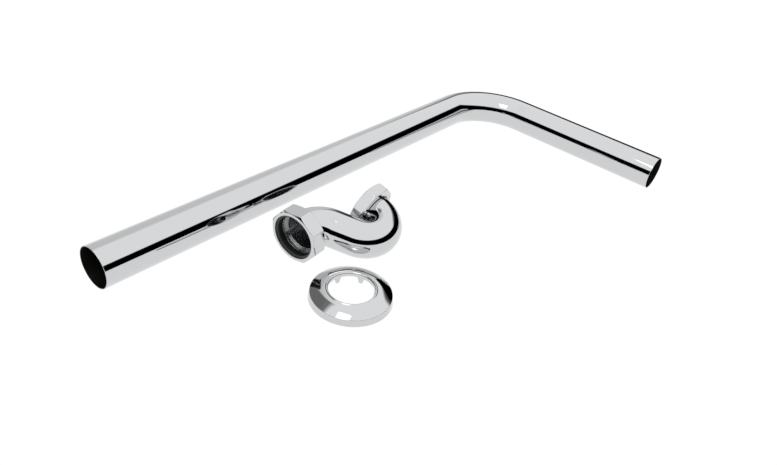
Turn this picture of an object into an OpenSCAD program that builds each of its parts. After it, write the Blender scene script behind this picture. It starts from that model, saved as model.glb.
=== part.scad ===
// Bath trap laid out beside its outlet pipe and wall flange.
// The trap is a bent tube with an octagonal nut at each mouth.  In use its inlet nut points up
// and takes the bath waste, and its outlet nut grips one end of the long bent pipe, whose other
// end goes into the wall through the flange.  Here the three stand on a flat surface, unjoined.
// Z = 0 is that surface, X runs along the pipe's long leg, and the origin is under the middle
// of the rectangle that the pipe spans.  Lengths are in millimetres, angles in degrees.

/* [Outlet pipe] */
// Outside diameter of the outlet pipe
pipe_od = 40; // [38:0.5:42]
// Wall of the outlet pipe
pipe_wall = 1; // [0.6:0.1:2]
// Open end of the long leg to the corner of the centre lines
leg_long = 583; // [560:1:640]
// Open end of the short leg to the corner of the centre lines
leg_short = 262; // [240:1:300]
// Centre line radius of the pipe's bend
pipe_bend_r = 70; // [50:1:90]

/* [Trap tube] */
// Outside diameter of the trap's tube
tube_od = 37; // [34:0.5:38]
// Wall of the trap's tube
tube_wall = 1; // [0.6:0.1:2]
// Centre line radius of the bend behind the outlet nut
outlet_bend_r = 26; // [24:0.5:34]
// Turn of the bend behind the outlet nut
outlet_bend_turn = 67; // [64:1:72]
// Straight tube between the two bends
leg_between = 21.4; // [20:0.2:34]
// Centre line radius of the bottom bend that holds the water seal
seal_bend_r = 22.4; // [22.4:0.2:28]
// Straight tube between the bottom bend and the inlet nut
inlet_straight = 0.4; // [0.2:0.1:6]
// Growth of the tube's wall on each side at its two straight ends
end_swell = 0.2; // [0.1:0.05:0.3]

/* [Nuts] */
// Width across the flats of both nuts
nut_af = 50.6; // [50.2:0.1:50.8]
// Length of the outlet nut
outlet_nut_len = 15.7; // [15:0.1:20]
// Length of the inlet nut
inlet_nut_len = 12.5; // [12:0.1:16]
// Slope of the chamfers that round the corners of the nuts
nut_chamfer_angle = 30; // [20:1:40]
// Depth to which the chamfers cut into the flats at the end faces
chamfer_inset = 0.3; // [0.1:0.1:0.6]
// Radius of the thread that joins the outlet nut to its socket
socket_thread_r = 23; // [22.8:0.1:23.2]
// Gap between parts that turn on each other
turn_gap = 0.3; // [0.2:0.05:0.4]
// Turn of the outlet nut's first corner about its axis, from the plane of the trap
outlet_nut_phase = 4.4; // [0:0.1:45]
// Turn of the inlet nut's first corner about its axis, from the plane of the trap
inlet_nut_phase = 26.4; // [0:0.1:45]

/* [Outlet mouth] */
// Depth of the lip that holds the rings in the outlet nut
lip_depth = 1.4; // [1:0.1:2]
// Width of the step between the outlet nut's bore and its mouth
lip_step = 1; // [0.6:0.1:1.4]
// Thickness of the slip ring in front of the seal
slip_ring_len = 1.3; // [1:0.1:1.6]
// Length of the rubber seal
seal_len = 5.5; // [4:0.1:6]
// Radial room between the seal and the pipe that it will grip
seal_room = 0.1; // [0.05:0.05:0.2]
// Radial room between the socket and the pipe that goes in
socket_room = 0.2; // [0.1:0.05:0.4]
// Depth to which the pipe enters the socket behind the seal
socket_depth = 4.2; // [3:0.1:4.6]
// Gap between the socket ring and the back face of the outlet nut
socket_setback = 0.4; // [0.2:0.1:1]

/* [Inlet mouth] */
// Radius at the crests of the inlet nut's thread
inlet_thread_r = 22.4; // [22.2:0.1:22.6]
// Length of the inlet nut's thread in front of the washer
inlet_thread_len = 5; // [4:0.1:6]
// Depth of the groove behind the inlet nut's thread
thread_relief = 0.5; // [0.3:0.1:0.8]
// Thickness of the inlet washer
washer_len = 2.6; // [2:0.1:3]
// Thickness of the collar on the tube's inlet end
collar_len = 2; // [1.6:0.1:2.4]
// Radial room between the tube and the shoulder of the inlet nut
shoulder_room = 1.4; // [0.8:0.1:1.8]

/* [Wall flange] */
// Outside diameter of the wall flange at its foot
flange_od = 76.2; // [74:0.2:84]
// Diameter of the edge where the flange's rim meets its dome
flange_edge_d = 74; // [70:0.2:74]
// Height of the flange's rim
flange_rim_h = 6.5; // [4:0.1:8]
// Height of the whole flange
flange_h = 11.6; // [10.6:0.1:16]
// Thickness of the flange's sheet
flange_wall = 0.8; // [0.6:0.1:1]
// Radius of the lip rolled around the flange's hole
lip_round = 1.4; // [1.2:0.1:2]
// Depth of the crease between the lip and the dome
crease_depth = 0.5; // [0.3:0.1:0.8]
// Radial room between the flange's collar and the pipe
collar_room = 0.8; // [0.3:0.05:1]
// Height from the surface to the lower edge of the collar inside the flange
collar_foot = 7.4; // [6:0.1:8]
// Number of gripping fingers on the collar
finger_count = 6; // [4:1:8]
// Width of a finger below its root
finger_w = 6; // [5:0.2:7]
// Radius of the fillets at a finger's root
finger_fillet = 1.2; // [0.6:0.1:1.6]
// Radius of a finger's round tip
finger_tip_r = 2.2; // [1.6:0.1:2.4]
// Height from the surface to the tip of a finger
finger_foot = 1.4; // [0.5:0.1:2]
// Lean of the fingers towards the pipe, at the level of the flange's foot
finger_lean = 0.25; // [0.1:0.05:0.4]
// Direction of the first finger about the flange's axis
finger_phase = 17.8; // [0:0.1:60]

/* [Layout] */
// Place of the trap's outlet mouth along the pipe's long leg
trap_x = -153.3; // [-160:0.1:-140]
// Place of the trap's outlet mouth across the pipe's long leg
trap_y = 39.5; // [36:0.1:46]
// Turn of the trap about the upright
trap_yaw = 3.8; // [0:0.1:10]
// Lean of the trap that lowers its bottom bend onto the surface
trap_roll = 12.6; // [12:0.1:14]
// Lean of the trap along its outlet axis
trap_pitch = -2.6; // [-3:0.1:-2]
// Place of the flange's axis along the pipe's long leg
flange_x = -150.8; // [-160:0.1:-140]
// Place of the flange's axis across the pipe's long leg
flange_y = -33.4; // [-44:0.1:-32]

/* [Hidden] */
$fn = 96;
// Overlap by which a cutting solid runs past the face that it opens
past = 1;
// Slit between parts that are brazed or pressed together
seam = 0.05;
// Height of the trap's lowest point above the surface
floor_gap = 0.2;
// Length of bend inside each straight end of the tube
end_overlap = 0.5;

pipe_r = pipe_od / 2;
tube_r = tube_od / 2;
tube_bore_r = tube_r - tube_wall;

// The pipe's long leg lies on this line, and its open end and corner on these
pipe_y = (leg_short - pipe_r) / 2;
pipe_open_x = -(leg_long + pipe_r) / 2;
pipe_corner_x = pipe_open_x + leg_long;

// Nut corners, and the circle that the chamfers leave on the end faces
nut_corner_r = nut_af / 2 / cos(180 / 8);
nut_face_r = nut_af / 2 - chamfer_inset;
nut_chamfer = (nut_corner_r - nut_face_r) * tan(nut_chamfer_angle);

// Depths in the outlet mouth, from the nut's front face
outlet_bore_r = socket_thread_r + turn_gap;
outlet_mouth_r = outlet_bore_r - lip_step;
ring_outer_r = socket_thread_r - seam;
slip_ring_at = lip_depth + turn_gap;
seal_at = slip_ring_at + slip_ring_len;
socket_at = seal_at + seal_len;
socket_back = outlet_nut_len - socket_setback;
tube_start = socket_at + socket_depth;

// Depths in the inlet mouth, from the nut's open face
relief_r = inlet_thread_r + thread_relief;
collar_r = inlet_thread_r - turn_gap;
collar_at = inlet_thread_len + washer_len;
shoulder_at = collar_at + collar_len + turn_gap;

// Trap centre line, from the outlet mouth inwards, in the plane of the trap
bend_start = [outlet_nut_len, 0];
bend_end = bend_start + outlet_bend_r * [sin(outlet_bend_turn), cos(outlet_bend_turn) - 1];
leg_end = bend_end + leg_between * [cos(outlet_bend_turn), -sin(outlet_bend_turn)];
seal_bend_centre = leg_end + seal_bend_r * [sin(outlet_bend_turn), cos(outlet_bend_turn)];
seal_bend_turn = outlet_bend_turn + 90;
function arc_angle(length, r) = length / r * 180 / PI;
inlet_back = seal_bend_centre + [seal_bend_r, inlet_straight];

// Height gained for each millimetre along the trap's own axes, once the trap leans
rise = [-sin(trap_pitch), cos(trap_pitch) * sin(trap_roll), cos(trap_pitch) * cos(trap_roll)];
eighth = 360 / 8;
outlet_corner_heights = [for (k = [0:7], x = [nut_chamfer, outlet_nut_len - nut_chamfer])
    let (a = outlet_nut_phase + k * eighth)
    rise * [x, nut_corner_r * cos(a), nut_corner_r * sin(a)]];
inlet_corner_heights = [for (k = [0:7], y = [nut_chamfer, inlet_nut_len - nut_chamfer])
    let (a = inlet_nut_phase + k * eighth)
    rise * [inlet_back.x - nut_corner_r * cos(a), inlet_back.y + y, nut_corner_r * sin(a)]];
seal_bend_height = rise * [seal_bend_centre.x, seal_bend_centre.y, 0]
    - seal_bend_r * norm([rise.x, rise.y]) - tube_r;
// The trap is lifted until the lowest of its three feet clears the surface
trap_z = floor_gap - min(concat(outlet_corner_heights, inlet_corner_heights, [seal_bend_height]));

// The flange's bore, and the crease where its lip meets the dome
collar_bore_r = pipe_r + collar_room;
crease_angle = asin(1 - crease_depth / lip_round);
crease = [collar_bore_r + lip_round * (1 + cos(crease_angle)), flange_h - crease_depth];
// The fingers lean in from inside their fillets
lean_from = collar_foot - finger_fillet / 2;
function lean_at(z) = finger_lean * (lean_from - z) / lean_from;

module place_trap() {
    translate([trap_x, trap_y, trap_z]) rotate([trap_roll, trap_pitch, trap_yaw]) children();
}

// Stands a shape on the outlet mouth's plane, with its Z running into the nut
module at_outlet() {
    rotate([90, 0, 90]) children();
}

// Stands a shape on the inlet nut's open face, with its Z running into the nut
module at_inlet() {
    translate([inlet_back.x, inlet_back.y + inlet_nut_len, 0]) rotate([90, 0, 0]) children();
}

// Tube along a straight line in the plane of the bends
module straight_tube(from, heading, length, r, wall) {
    translate([from.x, from.y, 0]) rotate([0, 0, heading]) rotate([0, 90, 0]) difference() {
        cylinder(h = length, r = r);
        translate([0, 0, -past]) cylinder(h = length + 2 * past, r = r - wall);
    }
}

// Tube around a centre in the plane of the bends
module bent_tube(centre, from_angle, turn, bend_r, r, wall) {
    translate([centre.x, centre.y, 0]) rotate([0, 0, from_angle])
        rotate_extrude(angle = turn) translate([bend_r, 0]) difference() {
            circle(r = r);
            circle(r = r - wall);
        }
}

// Washer shape between two radii, from one depth to another
module sleeve(inner_r, outer_r, from, to) {
    rotate_extrude() translate([inner_r, from]) square([outer_r - inner_r, to - from]);
}

module outlet_pipe() {
    corner = [pipe_corner_x, pipe_y];
    color("gainsboro") translate([0, 0, pipe_r]) {
        straight_tube([pipe_open_x, pipe_y], 0, leg_long - pipe_bend_r, pipe_r, pipe_wall);
        bent_tube(corner - [pipe_bend_r, pipe_bend_r], 0, 90, pipe_bend_r, pipe_r, pipe_wall);
        straight_tube(corner - [0, pipe_bend_r], -90, leg_short - pipe_bend_r, pipe_r, pipe_wall);
    }
}

// The bends and the leg between them lie in the leg's own frame, and each bend runs on
// into the thicker straight end that meets it
module trap_tube() {
    end_r = tube_r + end_swell;
    end_wall = tube_wall + 2 * end_swell;
    color("gainsboro") place_trap() {
        translate([bend_end.x, bend_end.y, 0]) rotate([0, 0, -outlet_bend_turn]) {
            bent_tube([0, -outlet_bend_r], 90, outlet_bend_turn + arc_angle(end_overlap, outlet_bend_r),
                      outlet_bend_r, tube_r, tube_wall);
            straight_tube([0, 0], 0, leg_between, tube_r, tube_wall);
            bent_tube([leg_between, seal_bend_r], -90,
                      seal_bend_turn + arc_angle(end_overlap, seal_bend_r),
                      seal_bend_r, tube_r, tube_wall);
        }
        straight_tube([tube_start, 0], 0, outlet_nut_len - tube_start, end_r, end_wall);
        straight_tube(seal_bend_centre + [seal_bend_r, 0], 90,
                      inlet_straight + inlet_nut_len - collar_at, end_r, end_wall);
    }
}

// Octagonal bar whose corners are turned away at both ends
module nut_blank(length, phase) {
    cut_r = nut_corner_r + past;
    cut_z = nut_chamfer + past * tan(nut_chamfer_angle);
    intersection() {
        rotate([0, 0, phase]) cylinder(h = length, r = nut_corner_r, $fn = 8);
        rotate_extrude() polygon([[0, 0], [nut_face_r, 0], [cut_r, cut_z],
            [cut_r, length - cut_z], [nut_face_r, length], [0, length]]);
    }
}

module outlet_nut() {
    color("silver") place_trap() at_outlet() difference() {
        nut_blank(outlet_nut_len, outlet_nut_phase);
        translate([0, 0, -past]) cylinder(h = lip_depth + 2 * past, r = outlet_mouth_r);
        translate([0, 0, lip_depth]) cylinder(h = outlet_nut_len, r = outlet_bore_r);
    }
}

module slip_ring() {
    color("dimgray") place_trap() at_outlet()
        sleeve(pipe_r + 2 * seal_room + socket_room, ring_outer_r, slip_ring_at, seal_at);
}

module outlet_seal() {
    color("black") place_trap() at_outlet()
        sleeve(pipe_r + seal_room, ring_outer_r, seal_at, socket_at);
}

// Ring brazed on the tube's outlet end: a socket for the pipe inside, the nut's thread outside
module outlet_socket() {
    color("silver") place_trap() at_outlet() {
        sleeve(pipe_r + socket_room, socket_thread_r, socket_at, tube_start);
        sleeve(tube_r + end_swell + seam, socket_thread_r, tube_start, socket_back);
    }
}

module inlet_nut() {
    // Seen from the open face the first corner runs the other way about the axis
    color("silver") place_trap() at_inlet() difference() {
        nut_blank(inlet_nut_len, 180 - inlet_nut_phase);
        translate([0, 0, -past]) cylinder(h = inlet_thread_len + past, r = inlet_thread_r);
        translate([0, 0, inlet_thread_len]) cylinder(h = shoulder_at - inlet_thread_len, r = relief_r);
        translate([0, 0, shoulder_at - past]) cylinder(h = inlet_nut_len, r = tube_r + shoulder_room);
    }
}

module inlet_collar() {
    color("silver") place_trap() at_inlet()
        sleeve(tube_r + end_swell + seam, collar_r, collar_at, collar_at + collar_len);
}

module inlet_washer() {
    color("black") place_trap() at_inlet()
        sleeve(tube_bore_r, collar_r, inlet_thread_len, collar_at);
}

// Points on a circular arc about c
function arc(c, r, from, to, steps) = [for (i = [0:steps])
    let (a = from + (to - from) * i / steps) [c.x + r * cos(a), c.y + r * sin(a)]];

// Dome of the flange from its edge to the crease, as the first quarter of a sine wave
function dome(from, to, steps) = [for (i = [0:steps])
    [from.x + (to.x - from.x) * i / steps, from.y + (to.y - from.y) * sin(90 * i / steps)]];

// Outside of the sheet, closed down the collar's bore
module flange_outside() {
    rotate_extrude() polygon(concat(
        [[collar_bore_r - lean_at(0), 0], [flange_od / 2, 0]],
        dome([flange_edge_d / 2, flange_rim_h], crease, 12),
        arc([collar_bore_r + lip_round, flange_h - lip_round], lip_round, crease_angle, 180, 12),
        [[collar_bore_r, lean_from]]));
}

// Hollow behind the sheet, closed up the collar's back
module flange_hollow() {
    back_r = collar_bore_r + flange_wall;
    edge_r = flange_edge_d / 2 - flange_wall;
    rotate_extrude() polygon(concat(
        [[back_r - lean_at(-past), -past], [flange_od / 2 - flange_wall, -past],
            [flange_od / 2 - flange_wall, 0]],
        dome([edge_r, flange_rim_h - flange_wall / 2], crease - [0, flange_wall], 12),
        arc([collar_bore_r + lip_round, flange_h - lip_round], lip_round - flange_wall, 90, 180, 4),
        [[back_r, lean_from]]));
}

// One finger as it hangs from the collar, running out above the collar's edge
function finger_outline() = let (
        side = finger_w / 2 + finger_fillet,
        fillet_z = collar_foot - finger_fillet)
    concat([[-side - past, collar_foot + past / 2]],
        arc([-side, fillet_z], finger_fillet, 70, 0, 4),
        arc([0, finger_foot + finger_tip_r], finger_tip_r, 180, 360, 10),
        arc([side, fillet_z], finger_fillet, 180, 110, 4),
        [[side + past, collar_foot + past / 2]]);

module fingers() {
    for (k = [1:finger_count])
        rotate([0, 0, finger_phase + k * 360 / finger_count])
            translate([collar_bore_r - 2 * past, 0, 0]) rotate([90, 0, 90])
                linear_extrude(flange_wall + 3 * past) polygon(finger_outline());
}

module wall_flange() {
    color("gainsboro") translate([flange_x, flange_y, 0]) difference() {
        flange_outside();
        flange_hollow();
        difference() {
            sleeve(collar_bore_r - past, collar_bore_r + flange_wall + past / 2, -past, collar_foot);
            fingers();
        }
    }
}

outlet_pipe();
trap_tube();
outlet_socket();
outlet_nut();
slip_ring();
outlet_seal();
inlet_collar();
inlet_nut();
inlet_washer();
wall_flange();
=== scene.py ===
# %% [markdown]
# # A chromed bath trap, its outlet pipe and its wall flange
# Three pieces of bright plumbing lie on a white table.  A solid model of them already exists and
# is loaded first as a fixed frame: it says where every piece is and how big it is.  This file
# dresses it with smoother surfaces, finishes, light and a camera.  Blender works in metres; the
# numbers below are millimetres, as a maker would write them, and are turned to metres by MM.

import bpy
import numpy as np
from mathutils import Matrix, Vector


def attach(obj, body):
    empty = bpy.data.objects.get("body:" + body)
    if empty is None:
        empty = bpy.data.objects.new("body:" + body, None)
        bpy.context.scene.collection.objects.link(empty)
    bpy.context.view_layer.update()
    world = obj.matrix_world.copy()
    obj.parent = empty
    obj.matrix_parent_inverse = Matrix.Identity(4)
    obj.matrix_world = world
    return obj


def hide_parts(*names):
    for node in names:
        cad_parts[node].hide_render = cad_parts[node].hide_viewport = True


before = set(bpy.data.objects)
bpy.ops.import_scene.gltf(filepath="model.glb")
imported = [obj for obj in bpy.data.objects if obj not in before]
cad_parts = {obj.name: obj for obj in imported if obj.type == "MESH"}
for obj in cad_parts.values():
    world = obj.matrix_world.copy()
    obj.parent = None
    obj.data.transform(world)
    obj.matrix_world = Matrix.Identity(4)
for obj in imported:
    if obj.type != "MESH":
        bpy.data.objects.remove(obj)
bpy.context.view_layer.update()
MM = 0.001
print("solids:", ", ".join(sorted(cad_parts)))

# %% [markdown]
# ## The camera
# The photographer looks down at about 35 degrees with a fairly wide lens, so close that the near
# end of the pipe looks far thicker than the other one, and holds the camera a little rolled.
# A tracking constraint could aim a camera too, but here its three axes are worked out from
# heading, tilt and roll, so that each of the three can be changed by itself.

# %% Camera
CAMERA_PLACE = (-513.4, -315.6, 393.6)
HEADING, TILT, ROLL = np.radians(34.83), 0.606, 0.152
LENS = 31.37


def camera_axes(heading, tilt, roll):
    """Columns right, up and back: level axes turned by heading, tipped down by tilt, then rolled."""
    along = np.array([np.cos(heading), np.sin(heading), 0])
    right = np.array([np.sin(heading), -np.cos(heading), 0])
    upright = np.array([0, 0, 1.0])
    up = np.sin(tilt) * along + np.cos(tilt) * upright
    back = np.sin(tilt) * upright - np.cos(tilt) * along
    return np.column_stack([
        np.cos(roll) * right + np.sin(roll) * up,
        np.cos(roll) * up - np.sin(roll) * right,
        back,
    ])


camera = bpy.data.objects.new("camera", bpy.data.cameras.new("camera"))
bpy.context.scene.collection.objects.link(camera)
placed = np.eye(4)
placed[:3, :3] = camera_axes(HEADING, TILT, ROLL)
placed[:3, 3] = np.array(CAMERA_PLACE) * MM
camera.matrix_world = Matrix(placed)
camera.data.lens = LENS
camera.data.clip_start, camera.data.clip_end = 0.01, 50
bpy.context.scene.camera = camera
print("camera at", CAMERA_PLACE, "mm with a", LENS, "mm lens")

# %% [markdown]
# ## Profiles with softened corners
# Every piece here is a ring: a closed outline carried once around an axis.  A real edge is never
# knife sharp, and on chrome the tiny radius is what catches the light, so each corner of an
# outline is first replaced by a small curve.  A Bevel modifier could do it on the finished mesh;
# doing it in the outline gives each edge its own radius and keeps the grid regular.


# %% Softened outline
def softened(corners, reach, steps=4):
    """Each corner V of a closed outline becomes the parabola (1-u)^2 A + 2u(1-u) V + u^2 C.

    A and C lie reach before and after V on its two sides.  One more point twice as far out on
    each side keeps the shading of the flat part flat.  corners has the shape (corner, column, 2)
    and reach is one number or one for each corner; a corner with reach 0 stays a single point.
    """
    reach = np.broadcast_to(reach, len(corners))
    arriving = corners - np.roll(corners, 1, axis=0)
    leaving = np.roll(corners, -1, axis=0) - corners
    arriving_size = np.linalg.norm(arriving, axis=-1, keepdims=True)
    leaving_size = np.linalg.norm(leaving, axis=-1, keepdims=True)
    room = np.minimum(reach[:, None, None], np.minimum(arriving_size, leaving_size) / 5)
    before = (arriving / arriving_size * room)[:, None]
    after = (leaving / leaving_size * room)[:, None]
    v = corners[:, None]
    u = np.linspace(0, 1, steps + 1)[None, :, None, None]
    curve = (1 - u) ** 2 * (v - before) + 2 * u * (1 - u) * v + u**2 * (v + after)
    points = np.concatenate([v - 2 * before, curve, v + 2 * after], axis=1)
    kept = np.ones(points.shape[:2], bool)
    kept[reach == 0] = False
    kept[reach == 0, 0] = True
    return points[kept]


square = softened(np.array([[[0, 0]], [[4, 0]], [[4, 4]], [[0, 4]]], float), 0.2)
print("a square outline with softened corners has", len(square), "points")

# %% [markdown]
# ## Carrying an outline along a bent line
# A tube bender makes straight legs and arcs and nothing else, so the centre line is a list of
# (length, curvature) legs.  A curve object with a bevel could draw the same tube, but the wall,
# the cut ends and the inside are easier to control on a grid: rows follow the outline, columns go
# around, and a ring piece such as a nut is the same thing carried along a straight line.


# %% Bent lines
def bent_line(start, heading, legs):
    """Function from distance to (centre, sideways unit vector) on a line of (length, curvature) legs.

    In a leg of curvature k the chord of length d is d sin(kd/2)/(kd/2) long and points along the
    leg's first heading plus kd/2, which holds for straight legs too.
    """
    lengths, bends = np.array(legs, float).T
    headings = heading + np.concatenate([[0], np.cumsum(lengths * bends)])

    def chord(distance, turn, toward):
        size = distance * np.sinc(distance * turn / 2 / np.pi)
        way = toward + distance * turn / 2
        return np.stack([size * np.cos(way), size * np.sin(way)], axis=-1)

    corners = np.cumsum(np.vstack([start, chord(lengths, bends, headings[:-1])]), axis=0)
    marks = np.concatenate([[0], np.cumsum(lengths)])

    def at(distance):
        leg = np.clip(np.searchsorted(marks, distance, side="right") - 1, 0, len(lengths) - 1)
        into = distance - marks[leg]
        flat = corners[leg] + chord(into, bends[leg], headings[leg])
        toward = headings[leg] + into * bends[leg]
        level = np.zeros(np.shape(distance) + (1,))
        sideways = np.stack([-np.sin(toward), np.cos(toward)], axis=-1)
        return np.concatenate([flat, level], axis=-1), np.concatenate([sideways, level], axis=-1)

    return at


def carried(outline, angles, line):
    """Point = centre(distance) + radius (cos a * sideways + sin a * upright) for each outline point.

    outline holds (distance, radius) in mm and has the shape (row, column, 2) or (row, 1, 2).
    """
    outline = np.broadcast_to(outline, (len(outline), len(angles), 2))
    centre, sideways = line(outline[..., 0])
    across = np.cos(angles)[None, :, None] * sideways
    upward = np.sin(angles)[None, :, None] * np.array([0, 0, 1.0])
    return centre + outline[..., 1:] * (across + upward)


def unbent(outline, angles):
    """Where each point would lie if the line were straight: (distance, r cos a, r sin a)."""
    outline = np.broadcast_to(outline, (len(outline), len(angles), 2))
    radius = outline[..., 1]
    return np.stack([outline[..., 0], radius * np.cos(angles), radius * np.sin(angles)], axis=-1)


quarter = bent_line((0, 0), 0, [(10, 0), (70 * np.pi / 2, -1 / 70)])
print("a quarter bend ends at", np.round(quarter(np.array(10 + 70 * np.pi / 2))[0], 3))

# %% [markdown]
# ## From a grid to a Blender mesh
# All the rings close on themselves both ways, along the outline and around the axis, so one
# function can make their faces.  Which way they point is not left to luck: the signed volume of
# the closed shape is measured, and a negative one means that the faces are inside out.


# %% Make a piece
def ring_faces(rows, columns):
    """Quads (i, j), (i+1, j), (i+1, j+1), (i, j+1), closed in both directions."""
    index = np.arange(rows * columns).reshape(rows, columns)
    under = np.roll(index, -1, axis=0)
    corners = [index, under, np.roll(under, -1, axis=1), np.roll(index, -1, axis=1)]
    return np.stack(corners, axis=-1).reshape(-1, 4)


def signed_volume(points, faces):
    """A sixth of the sum of a . (b x c) over the triangles; above zero if faces point outwards."""
    a, b, c, d = (points[faces[:, k]] for k in range(4))
    two = np.einsum("ij,ij->i", a, np.cross(b, c)) + np.einsum("ij,ij->i", a, np.cross(c, d))
    return two.sum() / 6


def make_piece(name, points, straight, finishes, body, node, row_finish=None):
    """A smooth mesh from a closed grid in mm, riding on a body and standing for a CAD node.

    straight is stored as the attribute unbent, in metres, for patterns that follow the tube.
    row_finish gives each row's place in finishes.
    """
    rows, columns = points.shape[:2]
    faces = ring_faces(rows, columns)
    flat = points.reshape(-1, 3) * MM
    volume = signed_volume(flat, faces)
    if volume < 0:
        faces = faces[:, ::-1]
    mesh = bpy.data.meshes.new(name)
    mesh.from_pydata(flat, [], faces)
    mesh.shade_smooth()
    follow = mesh.attributes.new("unbent", "FLOAT_VECTOR", "POINT")
    follow.data.foreach_set("vector", (straight.reshape(-1, 3) * MM).astype(np.float32).ravel())
    for finish in finishes:
        mesh.materials.append(finish)
    if row_finish is not None:
        mesh.polygons.foreach_set("material_index", np.repeat(row_finish, columns).astype(np.int32))
    mesh.validate()
    piece = bpy.data.objects.new(name, mesh)
    bpy.context.scene.collection.objects.link(piece)
    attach(piece, body)
    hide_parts(node)
    print(f"{name}: {2 * len(faces)} triangles, {abs(volume) / MM**3:.0f} mm3")
    return piece


# %% [markdown]
# ## Materials in general
# Each finish is a small node tree around one Principled shader.  Colours are written as sRGB hex
# values, as a paint chart gives them, and turned to the linear values that light adds up in.
# One helper adds a node with its settings and links, whatever the node's kind.


# %% Material helpers
def linear(hex_colour):
    """sRGB hex to linear RGBA: v / 12.92 up to 0.04045, else ((v + 0.055) / 1.055) ^ 2.4."""
    srgb = np.array([int(hex_colour[k : k + 2], 16) / 255 for k in (1, 3, 5)])
    rgb = np.where(srgb <= 0.04045, srgb / 12.92, ((srgb + 0.055) / 1.055) ** 2.4)
    return (*rgb.tolist(), 1.0)


def add(tree, kind, settings=None, **inputs):
    """One node of the tree: settings are its properties, inputs its sockets' values or links."""
    node = tree.nodes.new("ShaderNode" + kind)
    for key, value in (settings or {}).items():
        setattr(node, key, value)
    for key, value in inputs.items():
        name = key.replace("_", " ")
        socket = node.inputs[int(name[1:])] if name[1:].isdigit() else node.inputs[name]
        if isinstance(value, bpy.types.NodeSocket):
            tree.links.new(value, socket)
        else:
            socket.default_value = value
    return node


def new_material(name, **surface):
    """An empty material with its Principled shader, whose constant inputs are set by name."""
    material = bpy.data.materials.new(name)
    material.use_nodes = True
    material.node_tree.nodes.clear()
    shader = add(material.node_tree, "BsdfPrincipled", **surface)
    add(material.node_tree, "OutputMaterial", Surface=shader.outputs["BSDF"])
    return material, material.node_tree, shader


print("mid grey #808080 is", round(linear("#808080")[0], 3), "in linear light")

# %% [markdown]
# ## Chrome plate
# All the bright parts are brass under a few microns of nickel and chromium.  Chromium mirrors a
# little over half of the light, evenly over the colours, and a hair bluish.  On a drawn tube the
# mirror is not perfect: the tube was polished along its length, so its surface carries a very
# low waviness of some centimetres and, far finer, soft polishing lines.  Both are drawn in the
# tube's unbent coordinates, so that they follow the bends.


# %% Chrome on tube, nut and pressed sheet
CHROME = "#CBCCCD"


def chrome(name, colour, wave_mm, wave_height, line_mm, lines_along, roughness):
    """Polished chrome plate: waviness in the bump, polishing lines in the roughness."""
    material, tree, shader = new_material(
        name, Base_Color=linear(colour), Metallic=1.0, Roughness=roughness
    )
    place = add(tree, "Attribute", {"attribute_name": "unbent"}).outputs["Vector"]
    stretch = (0.05, 1, 1) if lines_along else (1, 0.05, 0.05)
    drawn = add(tree, "Mapping", Vector=place, Scale=stretch)
    lines = add(
        tree, "TexNoise", Vector=drawn.outputs["Vector"], Scale=1 / (line_mm * MM), Detail=2.0
    )
    gloss = add(
        tree,
        "MapRange",
        Value=lines.outputs["Fac"],
        From_Min=0.3,
        From_Max=0.8,
        To_Min=roughness * 0.6,
        To_Max=roughness * 1.6,
    )
    tree.links.new(gloss.outputs["Result"], shader.inputs["Roughness"])
    wave = add(tree, "TexNoise", Vector=place, Scale=1 / (wave_mm * MM), Detail=0.0)
    bump = add(
        tree, "Bump", Height=wave.outputs["Fac"], Distance=wave_height * MM, Strength=1.0
    )
    tree.links.new(bump.outputs["Normal"], shader.inputs["Normal"])
    return material


tube_chrome = chrome("chrome_plate_on_drawn_tube", CHROME, 30, 0.010, 0.6, True, 0.035)
nut_chrome = chrome("chrome_plate_on_turned_brass", CHROME, 12, 0.003, 0.4, False, 0.05)
sheet_chrome = chrome("chrome_plate_on_pressed_sheet", CHROME, 25, 0.006, 0.8, False, 0.04)
print("chrome finishes:", tube_chrome.name, nut_chrome.name, sheet_chrome.name)

# %% [markdown]
# ## Inside the tubes
# Plating hardly reaches the inside of a long tube, so the bore keeps its dull, unplated brass.
# It scatters the little light that gets in, and a long open end looks black; the bore's colour is also set
# near black, as painted shade for that dark inside.

# %% Bare bore with painted shade, plastic and rubber
# painted shade: the pipe's bore gets a near-black colour that stands for the shade inside the long tube
bare_bore_painted_shade, tree, shader = new_material(
    "bare_brass_bore_painted_dark_shade", Metallic=0.6, Roughness=0.5, Base_Color=linear("#171614")
)
turned_bore = chrome("satin_turned_bore", "#B9BBBC", 10, 0.004, 0.5, False, 0.22)
ring_plastic, tree, shader = new_material(
    "moulded_dark_grey_polyethylene", Base_Color=linear("#3A3C3C"), Roughness=0.5
)
seal_rubber, tree, shader = new_material(
    "moulded_black_rubber", Base_Color=linear("#0C0C0C"), Roughness=0.6
)
print("other finishes:", bare_bore_painted_shade.name, turned_bore.name, ring_plastic.name, seal_rubber.name)

# %% [markdown]
# ## The outlet pipe
# The pipe is 40 mm brass tube with a wall of 1 mm, bent once by a right angle around a 70 mm
# former, with both ends sawn square and deburred.  Its outline runs along the outside, over one
# cut end, back along the inside and over the other, and is carried along the bent line.

# %% Outlet pipe
PIPE_R, PIPE_WALL = 20.0, 1.0
PIPE_OPEN_X, PIPE_Y, LONG_LEG, SHORT_LEG, PIPE_BEND = -301.5, 121.0, 583.0, 262.0, 70.0
CUT_EDGE = 0.25


def tube_outline(stations, radius, wall, edge):
    """Out along the stations at radius and back along them at radius - wall; which rows are inside."""
    middle = stations[(stations > stations[0] + 6 * edge) & (stations < stations[-1] - 6 * edge)]
    there = [stations[0], *middle, stations[-1]]
    distance = np.array(there + there[::-1])
    height = np.repeat([radius, radius - wall], len(there))
    reach = np.zeros(len(distance))
    reach[[0, len(there) - 1, len(there), -1]] = edge
    rows = softened(np.stack([distance, height], axis=-1)[:, None], reach)
    inside = rows[:, 0, 1] < radius - wall / 2
    return rows, (inside & np.roll(inside, -1)).astype(int)


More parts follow.
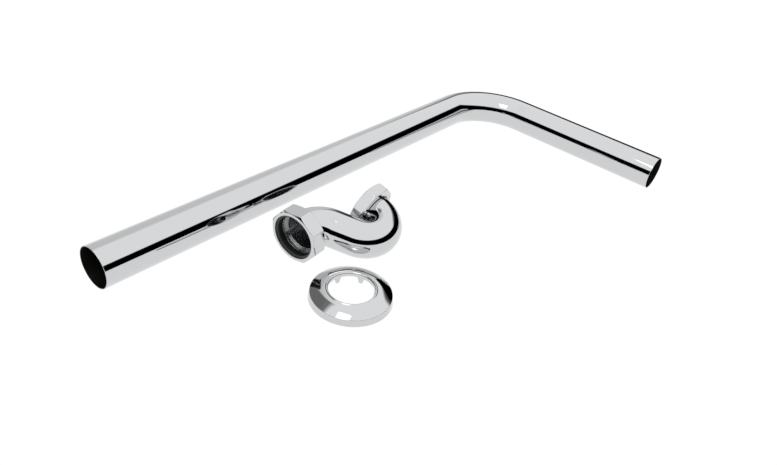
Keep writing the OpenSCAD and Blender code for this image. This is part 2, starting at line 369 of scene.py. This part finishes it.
def leg_stations(legs, straight_step, turn_step):
    """Distances every straight_step mm on the straights and every turn_step degrees in the bends."""
    marks = [0.0]
    for length, bend in legs:
        step = np.radians(turn_step) / abs(bend) if bend else straight_step
        count = max(1, int(np.ceil(length / step)))
        marks += list(marks[-1] + length * np.arange(1, count + 1) / count)
    return np.array(marks)


pipe_legs = [
    (LONG_LEG - PIPE_BEND, 0),
    (PIPE_BEND * np.pi / 2, -1 / PIPE_BEND),
    (SHORT_LEG - PIPE_BEND, 0),
]
pipe_line = bent_line((PIPE_OPEN_X, PIPE_Y), 0, pipe_legs)
pipe_rows, pipe_inside = tube_outline(
    leg_stations(pipe_legs, 12, 1.5), PIPE_R, PIPE_WALL, CUT_EDGE
)
around = np.linspace(0, 2 * np.pi, 192, endpoint=False)
pipe_points = carried(pipe_rows, around, pipe_line) + [0, 0, PIPE_R]
make_piece(
    "outlet_pipe_tube", pipe_points, unbent(pipe_rows, around), [tube_chrome, bare_bore_painted_shade],
    "trap_and_pipe", "outlet_pipe", pipe_inside,
)

# %% [markdown]
# ## Laying the trap down
# The trap is a flat double bend, drawn in its own plane.  Laid down, it rests on a corner of each
# nut and on its bottom bend, so the plane leans: it is rolled, pitched and turned, in that order,
# and lifted until the lowest of the three touches the table.

# %% Place of the trap
TRAP_PLACE = (-153.3, 39.5, 26.4285)
TRAP_ROLL, TRAP_PITCH, TRAP_YAW = np.radians([12.6, -2.6, 3.8])


def turned(axis, angle):
    """Matrix that turns by angle about one of the three axes."""
    i, j = [(1, 2), (2, 0), (0, 1)][axis]
    matrix = np.eye(3)
    matrix[[i, j], [i, j]] = np.cos(angle)
    matrix[i, j], matrix[j, i] = -np.sin(angle), np.sin(angle)
    return matrix


TRAP_TURN = turned(2, TRAP_YAW) @ turned(1, TRAP_PITCH) @ turned(0, TRAP_ROLL)


def laid(points):
    """Points of the trap's own plane where they lie in the scene."""
    return points @ TRAP_TURN.T + TRAP_PLACE


print("the outlet points along", np.round(-TRAP_TURN[:, 0], 3))

# %% [markdown]
# ## The trap's tube
# The tube turns by 67 degrees behind the outlet nut and back by 157 degrees around the bottom
# bend, whose dip holds the water that seals the drain.  The real tube is thickened a little at both ends,
# where a ring and a collar are brazed on; here only that ring and collar are sized for the thicker end,
# and the tube keeps one radius.  The tube is a separate carried outline again; its inside is seen through
# the outlet nut, bright at first and then dark.

# %% Trap tube
TUBE_R, TUBE_WALL, END_SWELL = 18.5, 1.0, 0.2
OUTLET_NUT, INLET_NUT = 15.7, 12.5
TUBE_START, COLLAR_AT = 12.7, 7.6
FIRST_BEND, FIRST_TURN, LEG_BETWEEN, SEAL_BEND = 26.0, np.radians(67), 21.4, 22.4
INLET_STRAIGHT = 0.4

first_straight = OUTLET_NUT - TUBE_START
last_straight = INLET_STRAIGHT + INLET_NUT - COLLAR_AT
trap_legs = [
    (first_straight, 0),
    (FIRST_BEND * FIRST_TURN, -1 / FIRST_BEND),
    (LEG_BETWEEN, 0),
    (SEAL_BEND * (FIRST_TURN + np.pi / 2), 1 / SEAL_BEND),
    (last_straight, 0),
]
trap_line = bent_line((TUBE_START, 0), 0, trap_legs)
trap_rows, trap_inside = tube_outline(leg_stations(trap_legs, 2, 1.5), TUBE_R, TUBE_WALL, 0.2)
trap_around = np.linspace(0, 2 * np.pi, 176, endpoint=False)
trap_points = laid(carried(trap_rows, trap_around, trap_line))
make_piece(
    "trap_double_bend", trap_points, unbent(trap_rows, trap_around), [tube_chrome, turned_bore],
    "trap_and_pipe", "trap_tube", trap_inside,
)

# %% [markdown]
# ## Rings in the outlet mouth
# The pipe is pushed through the nut, a slip ring and a rubber seal into a socket ring brazed on
# the tube.  Tightening the nut squeezes the seal onto the pipe.  All of them are plain outlines
# carried around the outlet's axis.

# %% Socket, slip ring and seal
SEAM, TURN_GAP = 0.05, 0.3
SOCKET_THREAD, SOCKET_BORE, SOCKET_BACK = 23.0, 20.2, 15.3
SLIP_AT, SEAL_AT, SOCKET_AT = 1.7, 3.0, 8.5
END_R = TUBE_R + END_SWELL
outlet_line = bent_line((0, 0), 0, [(50, 0)])
ring_around = np.linspace(0, 2 * np.pi, 144, endpoint=False)


def ring(name, corners, edges, line, finish, body, node):
    """A ring whose outline is a list of (distance, radius) corners."""
    rows = softened(np.array(corners, float)[:, None], edges)
    points = laid(carried(rows, ring_around, line))
    return make_piece(
        name, points, unbent(rows, ring_around), [finish], body, node
    )


ring(
    "outlet_socket_ring",
    [(SOCKET_AT, SOCKET_BORE), (SOCKET_AT, SOCKET_THREAD), (SOCKET_BACK, SOCKET_THREAD),
     (SOCKET_BACK, END_R + SEAM), (TUBE_START, END_R + SEAM), (TUBE_START, SOCKET_BORE)],
    [0.4, 0.2, 0.2, 0.1, 0.1, 0.1], outlet_line, turned_bore,
    "trap_and_pipe", "outlet_socket",
)
ring(
    "outlet_slip_ring",
    [(SLIP_AT, 20.4), (SLIP_AT, 22.95), (SEAL_AT, 22.95), (SEAL_AT, 20.4)],
    0.3, outlet_line, ring_plastic, "trap_and_pipe", "slip_ring",
)
ring(
    "outlet_rubber_seal",
    [(SEAL_AT, 20.1), (SEAL_AT, 22.95), (SOCKET_AT, 22.95), (SOCKET_AT, 20.1)],
    0.4, outlet_line, seal_rubber, "trap_and_pipe", "outlet_seal",
)

# %% [markdown]
# ## Octagonal nuts
# Both nuts are cut from octagonal brass bar.  In the lathe the corners are turned away at both
# ends, which leaves the bright bow-shaped chamfers, and the bore is cut.  The octagon's outline
# is worked out column by column; each column then has its own chamfer depth, so the edge between
# chamfer and flat falls exactly on a row of the grid and stays crisp.

# %% Nut outline
FLATS, CHAMFER_SLOPE, CHAMFER_INSET = 50.6, np.radians(30), 0.3
FACE_R = FLATS / 2 - CHAMFER_INSET
OUTLET_PHASE, INLET_PHASE = np.radians(4.4), np.radians(26.4)
CORNER_ROUND = 0.5


def octagon(phase):
    """(angle, radius) of an octagon whose corners are arcs: the core octagon grown by the arc's radius."""
    eighth = np.pi / 4
    bend = np.linspace(-eighth / 2, eighth / 2, 7)
    share = np.linspace(0, 1, 15)[1:-1]
    corner_way = phase + eighth * np.arange(8)[:, None]
    core = (FLATS / 2 - CORNER_ROUND) / np.cos(eighth / 2)
    x = core * np.cos(corner_way) + CORNER_ROUND * np.cos(corner_way + bend)
    y = core * np.sin(corner_way) + CORNER_ROUND * np.sin(corner_way + bend)
    next_x, next_y = np.roll(x[:, :1], -1, axis=0), np.roll(y[:, :1], -1, axis=0)
    x = np.hstack([x, x[:, -1:] + (next_x - x[:, -1:]) * share]).ravel()
    y = np.hstack([y, y[:, -1:] + (next_y - y[:, -1:]) * share]).ravel()
    return np.arctan2(y, x), np.hypot(x, y)


angles, radii = octagon(OUTLET_PHASE)
print("the octagon has", len(angles), "columns and is", round(2 * radii.max(), 2), "mm over corners")

# %% [markdown]
# ## The nuts' insides
# The outlet nut is a cap: a lip in front that holds the rings, and a bore over the socket's
# thread.  The inlet nut is a union nut: a G 1 1/2 thread in front, a groove behind it and a
# shoulder that pulls on the tube's collar.  Its thread is really cut, as a ripple of the bore
# that moves on by one pitch for each turn.  A screw modifier could sweep a thread profile, but
# with a ripple the nut stays one closed grid.


# %% Nuts
THREAD_PITCH, THREAD_DEPTH = 2.309, 1.3
LIP_DEPTH, OUTLET_MOUTH, OUTLET_BORE = 1.4, 22.3, 23.3
INLET_THREAD, THREAD_LENGTH, RELIEF, SHOULDER_AT, SHOULDER_HOLE = 22.4, 5.0, 22.9, 9.9, 19.9
EDGE_ROWS = 3


def thread_rows(angles, crest, length):
    """Radius crest + depth (1 - cos(2 pi distance / pitch - angle)) / 2, faded out at both ends."""
    distance = np.linspace(length - 0.3, 0.3, 70)[:, None] * np.ones_like(angles)
    fade = np.clip((distance - 0.3) / 0.8, 0, 1) * np.clip((length - 0.3 - distance) / 0.3, 0, 1)
    ripple = (1 - np.cos(2 * np.pi * distance / THREAD_PITCH - angles)) / 2
    return np.stack([distance, crest + THREAD_DEPTH * fade * ripple], axis=-1)


def make_nut(name, length, phase, bore, line, body, node, thread=None):
    """An octagonal nut: front face, chamfer, flat, chamfer, back face and bore.

    A chamfer of slope s meets a flat of radius r at the depth (r - face radius) tan s.
    bore lists the (distance, radius) corners of the inside from back to front; thread is the
    (crest radius, length) of the thread at its front end.
    """
    angles, radii = octagon(phase)
    level = np.ones_like(radii)
    depth = (radii - FACE_R) * np.tan(CHAMFER_SLOPE)
    outside = [(0 * level, FACE_R * level), (depth, radii), (length - depth, radii),
               (length * level, FACE_R * level)]
    inside = [(at * level, radius * level) for at, radius in bore]
    corners = np.array(outside + inside).transpose(0, 2, 1)
    rows = softened(corners, [0.25] * len(outside) + [0.12] * len(inside), EDGE_ROWS)
    if thread is not None:
        last_corner = EDGE_ROWS + 3
        rows = np.concatenate([rows[:-last_corner], thread_rows(angles, *thread), rows[-last_corner:]])
    points = laid(carried(rows, angles, line))
    return make_piece(name, points, unbent(rows, angles), [nut_chrome], body, node)


make_nut(
    "outlet_compression_nut", OUTLET_NUT, OUTLET_PHASE,
    [(OUTLET_NUT, OUTLET_BORE), (LIP_DEPTH, OUTLET_BORE), (LIP_DEPTH, OUTLET_MOUTH),
     (0, OUTLET_MOUTH)],
    outlet_line, "outlet_nut", "outlet_nut",
)
tube_end = trap_line(np.array(sum(length for length, bend in trap_legs)))[0][:2]
inlet_face = tube_end + [0, COLLAR_AT]
inlet_line = bent_line(inlet_face, -np.pi / 2, [(50, 0)])
make_nut(
    "inlet_union_nut", INLET_NUT, np.pi - INLET_PHASE,
    [(INLET_NUT, SHOULDER_HOLE), (SHOULDER_AT, SHOULDER_HOLE), (SHOULDER_AT, RELIEF),
     (THREAD_LENGTH, RELIEF), (THREAD_LENGTH, INLET_THREAD), (0, INLET_THREAD)],
    inlet_line, "inlet_nut", "inlet_nut", (INLET_THREAD, THREAD_LENGTH),
)

# %% [markdown]
# ## Inside the inlet nut
# A collar brazed on the tube's end is what the union nut pulls on, and a flat rubber washer in
# front of it makes the joint tight.  Both are only seen by looking into the nut.

# %% Collar and washer
COLLAR_R, COLLAR_LENGTH = 22.1, 2.0
ring(
    "inlet_tube_collar",
    [(COLLAR_AT, END_R + SEAM), (COLLAR_AT, COLLAR_R), (COLLAR_AT + COLLAR_LENGTH, COLLAR_R),
     (COLLAR_AT + COLLAR_LENGTH, END_R + SEAM)],
    0.15, inlet_line, nut_chrome, "trap_and_pipe", "inlet_collar",
)
ring(
    "inlet_rubber_washer",
    [(THREAD_LENGTH, TUBE_R - TUBE_WALL), (THREAD_LENGTH, COLLAR_R), (COLLAR_AT, COLLAR_R),
     (COLLAR_AT, TUBE_R - TUBE_WALL)],
    0.35, inlet_line, seal_rubber, "trap_and_pipe", "inlet_washer",
)

# %% [markdown]
# ## The wall flange
# The flange is pressed from thin sheet: a steep rim, a shallow dome, a lip rolled down into a
# collar around the pipe, and six fingers cut from the collar that grip the pipe.  The fingers
# could be cut with a Boolean; here each column of the grid simply ends where the fingers' outline
# says, so the sheet's edge is a clean row of the grid.

# %% Flange
FLANGE_PLACE = (-150.8, -33.4, 0.0)
FLANGE_R, FLANGE_EDGE_R, RIM_HEIGHT, FLANGE_HEIGHT, SHEET = 38.1, 37.0, 6.5, 11.6, 0.8
LIP_ROUND, CREASE, COLLAR_BORE, COLLAR_FOOT = 1.4, 0.5, 20.8, 7.4
FINGERS, FINGER_WIDTH, FINGER_FILLET, TIP_ROUND, FINGER_FOOT = 6, 6.0, 1.2, 2.2, 1.4
FINGER_LEAN, FINGER_PHASE = 0.25, np.radians(17.8)
LEAN_FROM = COLLAR_FOOT - FINGER_FILLET / 2


def arc(centre, radius, first, last, steps):
    """Points centre + radius (cos t, sin t) for t from first to last, in degrees."""
    t = np.radians(np.linspace(first, last, steps + 1))
    return np.stack([centre[0] + radius * np.cos(t), centre[1] + radius * np.sin(t)], axis=-1)


def finger_columns():
    """(angle, height of the collar's edge) once around: fillet, side, round tip, and so on."""
    side = FINGER_WIDTH / 2 + FINGER_FILLET
    root = arc((-side, COLLAR_FOOT - FINGER_FILLET), FINGER_FILLET, 90, 0, 7)
    tip = arc((0, FINGER_FOOT + TIP_ROUND), TIP_ROUND, 180, 270, 10)
    half = np.vstack([root, (root[-1] + tip[0]) / 2, tip])
    finger = np.vstack([half, half[-2::-1] * [-1, 1]])
    swing = np.arcsin(finger[:, 0] / COLLAR_BORE)
    apart = 2 * np.pi / FINGERS
    gap = np.linspace(swing[-1], apart + swing[0], 14)[1:-1]
    one = np.concatenate([swing, gap])
    edge = np.concatenate([finger[:, 1], np.full(len(gap), COLLAR_FOOT)])
    starts = FINGER_PHASE + apart * np.arange(1, FINGERS + 1)[:, None]
    return (starts + one).ravel(), np.tile(edge, FINGERS)


def dome(outer, inner, shares):
    """Radius goes evenly from outer to inner, height as the first quarter of a sine wave."""
    height = outer[1] + (inner[1] - outer[1]) * np.sin(shares * np.pi / 2)
    return np.stack([outer[0] + (inner[0] - outer[0]) * shares, height], axis=-1)


def flange_rows(edge):
    """Closed outline for each column, from the collar's edge over lip, dome and rim and back under."""
    lean = FINGER_LEAN * np.maximum(LEAN_FROM - edge, 0) / LEAN_FROM
    crease_angle = np.degrees(np.arcsin(1 - CREASE / LIP_ROUND))
    lip_centre = (COLLAR_BORE + LIP_ROUND, FLANGE_HEIGHT - LIP_ROUND)
    lip = arc(lip_centre, LIP_ROUND, 180, crease_angle, 22)
    crease = lip[-1]
    top = dome((FLANGE_EDGE_R, RIM_HEIGHT), crease, np.linspace(0, 1, 49))[::-1]
    under_edge = (FLANGE_EDGE_R - SHEET, RIM_HEIGHT - SHEET / 2)
    under = dome(under_edge, crease - [0, SHEET], np.linspace(0, 1, 17))
    under_lip = arc(lip_centre, LIP_ROUND - SHEET, 90, 180, 6)
    collar_edge = np.maximum(edge, LEAN_FROM)
    runs = [
        (lip, 0), (top[1:-4], 0), (top[-1:], 0.3), (np.array([(FLANGE_R, 0)]), 0.2),
        (np.array([(FLANGE_R - SHEET, 0)]), 0.2), (under[:1], 0.1), (under[2:], 0), (under_lip, 0),
    ]
    middle = np.vstack([points for points, reach in runs])[:, None] * np.ones((1, len(edge), 1))
    reaches = np.concatenate([np.full(len(points), reach) for points, reach in runs])
    back = COLLAR_BORE + SHEET
    start = [(COLLAR_BORE - lean, edge), (COLLAR_BORE + 0 * edge, collar_edge + 0.2)]
    finish = [(back + 0 * edge, collar_edge + 0.2), (back - lean, edge)]
    start = np.array(start).transpose(0, 2, 1)
    finish = np.array(finish).transpose(0, 2, 1)
    corners = np.concatenate([start, middle, finish])
    return softened(corners, np.concatenate([[0.2, 0], reaches, [0, 0.2]]))


flange_angles, flange_edge = finger_columns()
flange_outline = flange_rows(flange_edge)[..., ::-1]
straightened = unbent(flange_outline, flange_angles)
make_piece(
    "wall_flange_sheet", np.roll(straightened, -1, axis=-1) + FLANGE_PLACE, straightened,
    [sheet_chrome], "trap_and_pipe", "wall_flange",
)

# %% [markdown]
# ## Table and light
# The photo is taken for a catalogue, on a table that shines pure white from below, so the parts
# throw no shadow on it.  The floor therefore only gives light and returns none: an ordinary white
# floor would add the room's light to its own and look overexposed in the chrome.

# %% Floor
bpy.context.scene.view_settings.view_transform = "Standard"
lit_table, tree, shader = new_material(
    "backlit_white_acrylic_table", Base_Color=linear("#000000"), Roughness=0.9,
    Specular_IOR_Level=0.0, Emission_Color=linear("#FFFFFF"), Emission_Strength=1.02,
)
FLOOR_HALF = 2500.0
corner = FLOOR_HALF * MM
floor_mesh = bpy.data.meshes.new("floor")
floor_mesh.from_pydata(
    [(-corner, -corner, 0), (corner, -corner, 0), (corner, corner, 0), (-corner, corner, 0)],
    [], [(0, 1, 2, 3)],
)
floor_mesh.materials.append(lit_table)
floor = bpy.data.objects.new("floor", floor_mesh)
bpy.context.scene.collection.objects.link(floor)
print("floor", 2 * FLOOR_HALF, "mm wide")

# %% [markdown]
# ## The room in the mirror
# What the eye takes for the colour of chrome is only the room.  A straight tube mirrors few of
# its directions: along the long leg the part of a direction that follows the leg stays between
# 0.35 and 0.8.  The pale ceiling and the dark strip of unlit studio under it therefore belong to
# the tube, and the darker ends of the room show in the trap and the flange alone.

# %% Room
STRIP_TOP, CEILING_FROM = 0.43, 0.47
ROOM_LIGHT, CEILING, FAR_WALL = 1.25, 0.9, 0.65
world = bpy.data.worlds.new("studio")
bpy.context.scene.world = world
world.use_nodes = True
room = world.node_tree
room.nodes.clear()
way = add(room, "SeparateXYZ", Vector=add(room, "TexCoord").outputs["Generated"]).outputs


def room_part(axis, start, end, low=0.0, high=1.0):
    """A value that goes from low to high while the direction's part along axis goes start to end."""
    part = add(
        room, "MapRange", Value=way[axis], From_Min=start, From_Max=end, To_Min=low, To_Max=high
    )
    return part.outputs["Result"]


def combined(operation, first, second):
    """The two values joined by one step of arithmetic."""
    return add(room, "Math", {"operation": operation}, _0=first, _1=second).outputs["Value"]


def mixed(share, first, second):
    """first where share is 0 and second where it is 1."""
    return add(room, "Mix", Factor=share, A=first, B=second).outputs["Result"]


ceiling = room_part("Z", STRIP_TOP, CEILING_FROM, 0.0, CEILING)
wall = mixed(room_part("Y", 0.42, 0.6), ceiling, FAR_WALL)
end_wall = room_part("X", 0.80, 0.86, 1.0, 0.1)
corner_shade = combined("MULTIPLY", room_part("X", 0.3, 0.22), room_part("Y", 0.38, 0.48))
shaded = combined("MULTIPLY", wall, mixed(corner_shade, 1.0, 0.25))
background = add(
    room, "Background", Color=combined("MULTIPLY", shaded, end_wall), Strength=ROOM_LIGHT
)
add(room, "OutputWorld", Surface=background.outputs["Background"])

# %% [markdown]
# ## A soft box
# One lit box hangs over the table, on the camera's side, where the long leg hardly mirrors it.
# It shows as a bright spot on the bend, small ones on the trap and a patch on the flange's front.

# %% Soft box
BOX_PLACE, BOX_AIM, BOX_SIZE, BOX_RADIANCE = (-450, -60, 950), (-150, 20, 30), (300, 500), 2.4
box_light = bpy.data.lights.new("soft_box", "AREA")
box_light.shape = "RECTANGLE"
box_light.size, box_light.size_y = (side * MM for side in BOX_SIZE)
box_light.energy = BOX_RADIANCE * np.pi * box_light.size * box_light.size_y
soft_box = bpy.data.objects.new("soft_box", box_light)
bpy.context.scene.collection.objects.link(soft_box)
soft_box.location = Vector(BOX_PLACE) * MM
toward = Vector(BOX_AIM) - Vector(BOX_PLACE)
soft_box.rotation_euler = toward.to_track_quat("-Z", "Y").to_euler()
print("soft box at", BOX_PLACE, "mm,", round(box_light.energy, 2), "W")
